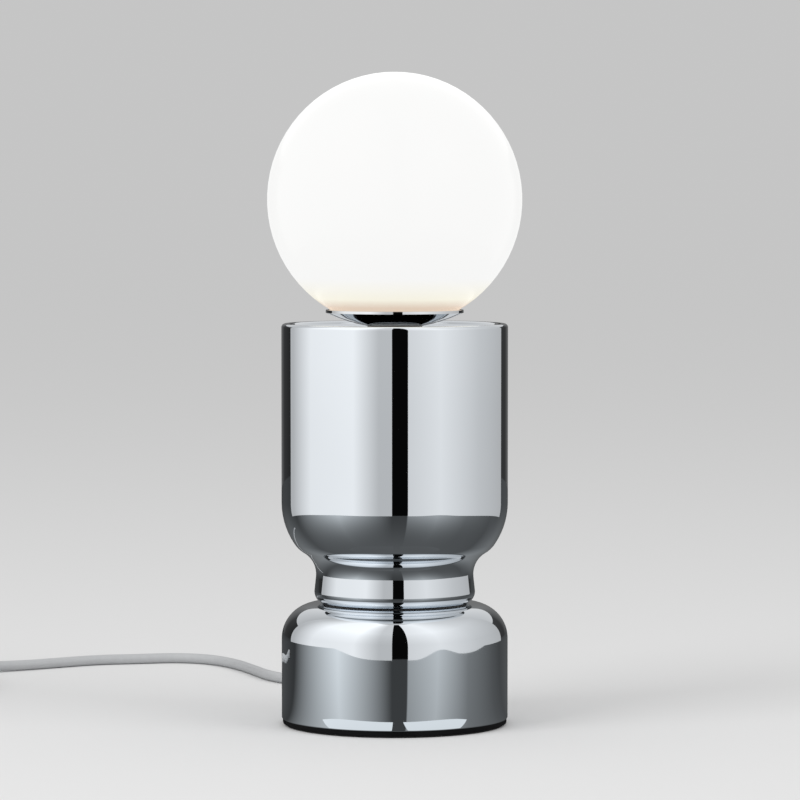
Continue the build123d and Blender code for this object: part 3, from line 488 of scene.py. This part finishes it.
# %% Turn the globe and light it
GLOBE_R, GLOBE_WALL, GLOBE_Z = 60.0, 3.0, 247.634
MOUTH_Z, MOUTH_R, LIP_R = 195.33, 26.5, 29.4
WARM_LOW, WARM_TOP = 0.196, 0.211
GLOW = [(0.1, (0.67, 0.54, 0.43)), (0.35, (0.85, 0.82, 0.7)), (1.0, (0.85, 0.85, 0.845))]
globe_in_r = GLOBE_R - GLOBE_WALL
lip_deg = degrees(atan2(MOUTH_Z - GLOBE_Z, LIP_R))
mouth_top = GLOBE_Z - sqrt(globe_in_r ** 2 - MOUTH_R ** 2)
mouth_deg = degrees(atan2(mouth_top - GLOBE_Z, MOUTH_R))
globe_moves = [
    (LIP_R, MOUTH_Z),
    (0, GLOBE_Z, 90 - lip_deg),
    (0, GLOBE_Z + globe_in_r),
    (0, GLOBE_Z, mouth_deg - 90),
    (MOUTH_R, MOUTH_Z),
]


def make_opal():
    """White glass with a glow that warms and fades just above the dish."""
    material = finish("lit_opal", (0.1, 0.1, 0.098), 0.2, drift=(15, 0.01), marks=(40, 0.05),
                      Specular_IOR_Level=0.1, Emission_Strength=1.0)
    tree = material.node_tree
    place = tree.nodes.new("ShaderNodeTexCoord")
    split = tree.nodes.new("ShaderNodeSeparateXYZ")
    height = range_node(tree, WARM_LOW, WARM_TOP)
    glow = ramp_node(tree, GLOW)
    link = tree.links.new
    link(place.outputs["Object"], split.inputs["Vector"])
    link(split.outputs["Z"], height.inputs["Value"])
    link(height.outputs["Result"], glow.inputs["Fac"])
    link(glow.outputs["Color"], tree.nodes["Principled BSDF"].inputs["Emission Color"])
    return material


make_piece("globe_shell", turn_piece((MOUTH_R, MOUTH_Z), globe_moves), "globe",
           ["opal_globe", "globe_mouth"], material=make_opal())

# %% [markdown]
# ## Chrome dish
# A shallow spun dish with an upright rim band. Its edges are broken by tiny rounds, which catch
# the light as thin bright lines, as they do under the globe in the photograph.

# %% Turn the dish
DISH_R, DISH_C, DISH_T = 75.6, 262.788, 1.0
RIM_R, RIM_TOP, RIM_T, EDGE = 32.5, 195.93, 1.4, 0.3
LAND_R, DISH_Z, TUBE_R = 11.9, 188.13, 5.05


def dish_z(sphere_r, r):
    """Height at radius r on a sphere about the dish's centre."""
    return DISH_C - sqrt(sphere_r ** 2 - r ** 2)


def dish_turn(sphere_r, r0, r1):
    """Degrees from radius r0 to radius r1 along a sphere about the dish's centre."""
    start = atan2(dish_z(sphere_r, r0) - DISH_C, r0)
    end = atan2(dish_z(sphere_r, r1) - DISH_C, r1)
    return degrees(end - start)


rim_in = RIM_R - RIM_T
bowl_r = DISH_R - DISH_T
floor_r = sqrt(bowl_r ** 2 - (DISH_C - DISH_Z - DISH_T) ** 2)
dish_moves = [
    (LAND_R, DISH_Z),
    (0, DISH_C, dish_turn(DISH_R, LAND_R, RIM_R)),
    (RIM_R, RIM_TOP - EDGE),
    (RIM_R - EDGE, RIM_TOP - EDGE, 90),
    (rim_in + EDGE, RIM_TOP),
    (rim_in + EDGE, RIM_TOP - EDGE, 90),
    (rim_in, dish_z(bowl_r, rim_in)),
    (0, DISH_C, dish_turn(bowl_r, rim_in, floor_r)),
    (TUBE_R, DISH_Z + DISH_T),
    (TUBE_R, DISH_Z),
]
make_piece("chrome_dish", turn_piece((TUBE_R, DISH_Z), dish_moves), "lamp", ["globe_dish"])

# %% [markdown]
# ## Foot
# A black steel tray under the glass shows as a thin dark band above the table. It could be
# pressed from sheet. Here it is a turned disc with its two edges rounded, since only they show.

# %% Turn the foot band
FELT_T, TRAY_R, TRAY_ROUND = 0.8, 52.9, 0.4
tray_moves = [
    (TRAY_R - TRAY_ROUND, FELT_T),
    (TRAY_R - TRAY_ROUND, FELT_T + TRAY_ROUND, 90),
    (TRAY_R, FOOT_Z - TRAY_ROUND),
    (TRAY_R - TRAY_ROUND, FOOT_Z - TRAY_ROUND, 90),
    (0, FOOT_Z),
]
make_piece("foot_band", turn_piece((0, FELT_T), tray_moves), "lamp", ["foot_tray"])

# %% [markdown]
# ## Smaller moulded pieces
# The strain relief, switch, plug and lampholder already have their real shape in the CAD model,
# but its triangles are loose and flat. A copy with its points merged can be shaded smooth, with
# sharp edges only where the faces really turn.

# %% Smooth copies of the CAD shapes
MOULDED_SHARP = 28


def smooth_copy(node, body):
    """The CAD shape of a node, welded and shaded smooth."""
    bm = bmesh.new()
    bm.from_mesh(nodes[node].data)
    bmesh.ops.remove_doubles(bm, verts=bm.verts, dist=CAD_WELD)
    return make_piece(node + "_smooth", bm, body, [node], MOULDED_SHARP)


lamp_parts = ["cord_bushing", "switch_lower_case", "switch_upper_case", "plug_body", "plug_pins",
              "pin_sleeves", "cord_tie", "globe_carrier", "carrier_springs", "holder_dome",
              "holder_skirt", "holder_shell", "globe_seal"]
bulb_parts = ["bulb_cap", "bulb_base", "bulb_envelope", "bulb_insulator"]
copies = {node: smooth_copy(node, "lamp") for node in lamp_parts}
copies.update({node: smooth_copy(node, "bulb") for node in bulb_parts})
copies["switch_rocker"] = smooth_copy("switch_rocker", "rocker")

# %% [markdown]
# ## Pieces kept out of reflections
# The switch, coil and plug lie outside the view, but the mirror would show them as stray shapes,
# so reflections leave them out.

# %% Keep the put-away pieces out of reflections
put_away = ["switch_lower_case", "switch_upper_case", "switch_rocker", "plug_body", "plug_pins",
            "pin_sleeves", "cord_tie"]
inside_switch = [nodes[node] for node in ("switch_terminals", "switch_screws", "rocker_pin")]
for piece in [stored_cord] + [copies[node] for node in put_away] + inside_switch:
    piece.visible_glossy = False
print("two cords described,", len(put_away) + len(inside_switch) + 1, "pieces kept out of reflections")

# %% [markdown]
# ## Floor
# The camera sees a plain pale floor that reaches to the horizon. It is matte, so it shows soft
# shadows and no reflections.

# %% Lay the floor
FLOOR_HALF = 300


def stage_object(name, bm, material):
    """An object of the stage from a bmesh."""
    mesh = bpy.data.meshes.new(name)
    bm.to_mesh(mesh)
    bm.free()
    mesh.materials.append(material)
    thing = bpy.data.objects.new(name, mesh)
    scene.collection.objects.link(thing)
    return thing


pale = bpy.data.materials.new("pale_floor")
pale.use_nodes = True
paint = pale.node_tree.nodes["Principled BSDF"]
paint.inputs["Base Color"].default_value = (0.8, 0.8, 0.8, 1)
paint.inputs["Roughness"].default_value = 0.9
paint.inputs["Specular IOR Level"].default_value = 0
floor_mesh = bmesh.new()
bmesh.ops.create_grid(floor_mesh, x_segments=1, y_segments=1, size=FLOOR_HALF)
stage_object("floor", floor_mesh, pale)
print("floor is", 2 * FLOOR_HALF, "m wide")

# %% [markdown]
# ## Soft panels for the mirror
# A mirror shows what stands round it, so its look comes from things outside it: two tall soft
# panels close to the lamp, left and right, a dark gap between them in front, and walls further back
# that are dark below and paler above. Each is a curved sheet that glows, and only reflections show
# it. The panels end in a wavy hem, which the lower drum shows as the edge of its bright part.

# %% Glow that changes round the lamp
PANEL_STRENGTH, CLIMB_GAIN = 1.25, 1.25
CLIMB_LOW, CLIMB_TOP = 0.12, 0.5


def only_in_reflections(thing):
    """Hides an object from everything but glossy rays."""
    thing.visible_camera = False
    thing.visible_diffuse = False
    thing.visible_transmission = False
    thing.visible_volume_scatter = False
    thing.visible_shadow = False


def glowing(name):
    """A material with an empty tree, for a glow that casts no light of its own."""
    material = bpy.data.materials.new(name)
    material.use_nodes = True
    material.cycles.emission_sampling = "NONE"
    material.node_tree.nodes.clear()
    return material


def level_ramp(tree, levels):
    """Levels round the lamp, as (degrees from the camera's side, level)."""
    return ramp_node(tree, [((azimuth + 180) / 360, (level,) * 3) for azimuth, level in sorted(levels)])


def round_the_lamp(tree, forwards=0.0):
    """A value that runs once round the lamp, or round a spot before it, with its seam at the back."""
    place = tree.nodes.new("ShaderNodeTexCoord")
    turn = tree.nodes.new("ShaderNodeMapping")
    turn.inputs["Rotation"].default_value = (0, 0, radians(90))
    turn.inputs["Location"].default_value = (-forwards, 0, 0)
    around = tree.nodes.new("ShaderNodeTexGradient")
    around.gradient_type = "RADIAL"
    tree.links.new(place.outputs["Object"], turn.inputs["Vector"])
    tree.links.new(turn.outputs["Vector"], around.inputs["Vector"])
    return around.outputs["Fac"]


def panel_light(name, levels, hems):
    """Light that changes round the lamp and gets stronger higher up, above a wavy hem."""
    material = glowing(name)
    tree = material.node_tree
    around = round_the_lamp(tree)
    level, hem = level_ramp(tree, levels), level_ramp(tree, hems)
    hem.color_ramp.interpolation = "B_SPLINE"
    place = tree.nodes.new("ShaderNodeTexCoord")
    split = tree.nodes.new("ShaderNodeSeparateXYZ")
    climb = range_node(tree, CLIMB_LOW, CLIMB_TOP)
    climb.inputs["To Min"].default_value = PANEL_STRENGTH
    climb.inputs["To Max"].default_value = PANEL_STRENGTH * CLIMB_GAIN
    above = math_node(tree, "GREATER_THAN")
    glow = tree.nodes.new("ShaderNodeEmission")
    clear = tree.nodes.new("ShaderNodeBsdfTransparent")
    mix = tree.nodes.new("ShaderNodeMixShader")
    output = tree.nodes.new("ShaderNodeOutputMaterial")
    link = tree.links.new
    link(around, level.inputs["Fac"])
    link(around, hem.inputs["Fac"])
    link(place.outputs["Object"], split.inputs["Vector"])
    link(split.outputs["Z"], above.inputs[0])
    link(hem.outputs["Color"], above.inputs[1])
    link(split.outputs["Z"], climb.inputs["Value"])
    link(level.outputs["Color"], glow.inputs["Color"])
    link(climb.outputs["Result"], glow.inputs["Strength"])
    link(above.outputs[0], mix.inputs["Fac"])
    link(clear.outputs["BSDF"], mix.inputs[1])
    link(glow.outputs["Emission"], mix.inputs[2])
    link(mix.outputs["Shader"], output.inputs["Surface"])
    return material


print("panels glow at", PANEL_STRENGTH, "low down and", PANEL_STRENGTH * CLIMB_GAIN, "high up")

# %% Stand the panels and walls
PANEL_R, GAP_R, PANEL_TOP = 0.485, 0.5, 2.5
WALL_R, WALL_TOP, BACK_R, BACK_TOP = 1.5, 0.58, 1.51, 5.0
SHEET_STEPS = 64
NO_HEM = [(-180, -1), (180, -1)]
BACK_HEM = [(-180, WALL_TOP), (180, WALL_TOP)]


def soft_sheet(name, radius, azimuths, top, levels, hems):
    """A curved upright sheet round the lamp, from one azimuth to another."""
    first, last = (radians(azimuth - 90) for azimuth in azimuths)
    bm = bmesh.new()
    foot = bm.verts.new((radius * cos(first), radius * sin(first), 0))
    head = bm.verts.new((radius * cos(first), radius * sin(first), top))
    edge = bm.edges.new((foot, head))
    bmesh.ops.spin(bm, geom=[foot, head, edge], cent=(0, 0, 0), axis=(0, 0, 1),
                   angle=last - first, steps=SHEET_STEPS)
    only_in_reflections(stage_object(name, bm, panel_light(name + "_light", levels, hems)))


soft_sheet("left_panel", PANEL_R, (-126, -2.5), PANEL_TOP,
           [(-120, 0.4), (-90, 0.75), (-40, 0.8), (-15, 0.45)],
           [(-125, 0.009), (-60, 0.009), (-35, 0.0), (-2, 0.0)])
soft_sheet("right_panel", PANEL_R, (12.7, 132.4), PANEL_TOP,
           [(15, 0.6), (45, 0.7), (90, 0.5), (130, 0.4)],
           [(12, 0.0), (28, 0.0), (45, 0.013), (65, 0.0), (95, 0.0), (130, 0.011)])
soft_sheet("dark_gap", GAP_R, (-8, 20), PANEL_TOP, [(-8, 0.002), (20, 0.002)], NO_HEM)
soft_sheet("dark_right", WALL_R, (118, 182), WALL_TOP, [(150, 0.03), (170, 0.13)], NO_HEM)
soft_sheet("dark_left", WALL_R, (-182, -112), WALL_TOP, [(-170, 0.13), (-150, 0.03), (-120, 0.01)], NO_HEM)
soft_sheet("right_back", BACK_R, (118, 182), BACK_TOP, [(120, 0.35), (180, 0.5)], BACK_HEM)
soft_sheet("left_back", BACK_R, (-182, -112), BACK_TOP, [(-180, 0.5), (-120, 0.3)], BACK_HEM)
print("panels and walls stand, at", PANEL_R, "and", WALL_R, "m from the lamp")

# %% [markdown]
# ## Painted reflection of a polished table
# The lower drum shows the table round the lamp, which has a gloss: seen at a flat angle it shows
# the panels, and from above a darker level. A disc that only reflections see paints this
# reflection as a glow that follows that angle, without a second reflection. Two cards before the
# foot glow to paint a thin lens of light above it.

# %% Lay the table and the cards
GLOSS_POWER, GLOSS_FORWARDS = 2.2, 0.035
GLOSS_TINT = (0.94, 0.98, 1.0, 1)
SLAB_R, SLAB_Z, CARD_Z = 1.55, 0.0003, 0.0006
CARD_LONG, CARD_DEEP, CARD_Y = 0.075, 0.045, -0.05
DISC_STEPS = 64


def painted_reflection(name, glosses, mattes):
    """A glow that paints a polished table's reflection round the lamp: gloss at a flat angle, a level from
    above.
    """
    material = glowing(name)
    tree = material.node_tree
    around = round_the_lamp(tree, GLOSS_FORWARDS)
    gloss, matte = level_ramp(tree, glosses), level_ramp(tree, mattes)
    slant = tree.nodes.new("ShaderNodeLayerWeight")
    flat = math_node(tree, "POWER")
    flat.inputs[1].default_value = GLOSS_POWER
    above = math_node(tree, "SUBTRACT", 1)
    shine = math_node(tree, "MULTIPLY")
    total = math_node(tree, "MULTIPLY_ADD")
    glow = tree.nodes.new("ShaderNodeEmission")
    glow.inputs["Color"].default_value = GLOSS_TINT
    output = tree.nodes.new("ShaderNodeOutputMaterial")
    link = tree.links.new
    link(around, gloss.inputs["Fac"])
    link(around, matte.inputs["Fac"])
    link(slant.outputs["Facing"], flat.inputs[0])
    link(slant.outputs["Facing"], above.inputs[1])
    link(gloss.outputs["Color"], shine.inputs[0])
    link(flat.outputs[0], shine.inputs[1])
    link(matte.outputs["Color"], total.inputs[0])
    link(above.outputs[0], total.inputs[1])
    link(shine.outputs[0], total.inputs[2])
    link(total.outputs[0], glow.inputs["Strength"])
    link(glow.outputs["Emission"], output.inputs["Surface"])
    return material


def disc(width, depth, middle):
    """A filled ellipse that lies flat, with its half width, half depth and middle."""
    bm = bmesh.new()
    bmesh.ops.create_circle(bm, cap_ends=True, segments=DISC_STEPS, radius=1)
    bmesh.ops.scale(bm, verts=bm.verts, vec=(width, depth, 1))
    bmesh.ops.translate(bm, verts=bm.verts, vec=middle)
    return bm


# Painted levels of the table seen from above, dark in front and paler behind.
PAINTED_FROM_ABOVE = [(-180, 0.5), (-145, 0.4), (-115, 0.11), (115, 0.11), (145, 0.4), (180, 0.5)]
# The slab's glow is a painted reflection of the table round the lamp.
slab_painted_reflection = painted_reflection("slab_painted_reflection", [
    (-120, 0.03), (-60, 1.0), (-3, 0.05), (12.8, 0.05), (13.8, 0.45), (45, 0.7), (80, 0.25), (130, 0.05),
], PAINTED_FROM_ABOVE)
only_in_reflections(stage_object("polished_slab", disc(SLAB_R, SLAB_R, (0, 0, SLAB_Z)), slab_painted_reflection))

# The cards glow to paint a thin lens of light above the foot, seen only in reflections.
card_painted_reflection = painted_reflection("card_painted_reflection", [(-90, 1.3), (90, 1.2)], PAINTED_FROM_ABOVE)
for name, side, inner_x in (("left_card", -1, -0.0021), ("right_card", 1, 0.0102)):
    card = disc(CARD_LONG, CARD_DEEP, (0, CARD_Y, CARD_Z))
    for point, outwards in (((0, CARD_Y, 0), (0, 1, 0)), ((inner_x, 0, 0), (-side, 0, 0))):
        bmesh.ops.bisect_plane(card, geom=card.verts[:] + card.edges[:] + card.faces[:],
                               plane_co=point, plane_no=outwards, clear_outer=True)
    only_in_reflections(stage_object(name, card, card_painted_reflection))
print("table is", 2 * SLAB_R, "m wide, with two cards before the lamp")

# %% [markdown]
# ## Lamps and world
# Two square lamps, left and right of the camera, shade the floor and the matte pieces. Reflections
# leave them out, because the panels stand for them there. The world gives one grey to the camera
# and to mirrors, and a slightly brighter one as light.

# %% Hang the lamps and set the world
LAMP_SIZE, LAMP_AIM = 1.2, Vector((0, 0, 0.15))


def area_lamp(name, place, energy):
    """A square lamp that faces the middle of the body."""
    data = bpy.data.lights.new(name, "AREA")
    data.shape = "SQUARE"
    data.size = LAMP_SIZE
    data.energy = energy
    lamp = bpy.data.objects.new(name, data)
    lamp.location = place
    lamp.rotation_euler = (LAMP_AIM - lamp.location).to_track_quat("-Z", "Y").to_euler()
    lamp.visible_glossy = False
    scene.collection.objects.link(lamp)


area_lamp("left_lamp", (-1.4, -1.2, 1.6), 16)
area_lamp("right_lamp", (1.5, -1.0, 1.5), 9)

world = bpy.data.worlds.new("studio")
scene.world = world
world.use_nodes = True
tree = world.node_tree
ambient = tree.nodes["Background"]
ambient.inputs["Color"].default_value = (0.7, 0.7, 0.7, 1)
seen = tree.nodes.new("ShaderNodeBackground")
seen.inputs["Color"].default_value = (0.56, 0.56, 0.56, 1)
rays = tree.nodes.new("ShaderNodeLightPath")
sharp = math_node(tree, "MAXIMUM")
either = math_node(tree, "MAXIMUM")
mix = tree.nodes.new("ShaderNodeMixShader")
tree.links.new(rays.outputs["Is Glossy Ray"], sharp.inputs[0])
tree.links.new(rays.outputs["Is Transmission Ray"], sharp.inputs[1])
tree.links.new(rays.outputs["Is Camera Ray"], either.inputs[0])
tree.links.new(sharp.outputs[0], either.inputs[1])
tree.links.new(either.outputs[0], mix.inputs["Fac"])
tree.links.new(ambient.outputs[0], mix.inputs[1])
tree.links.new(seen.outputs[0], mix.inputs[2])
tree.links.new(mix.outputs[0], tree.nodes["World Output"].inputs["Surface"])
print("two lamps hang, and the world is set")
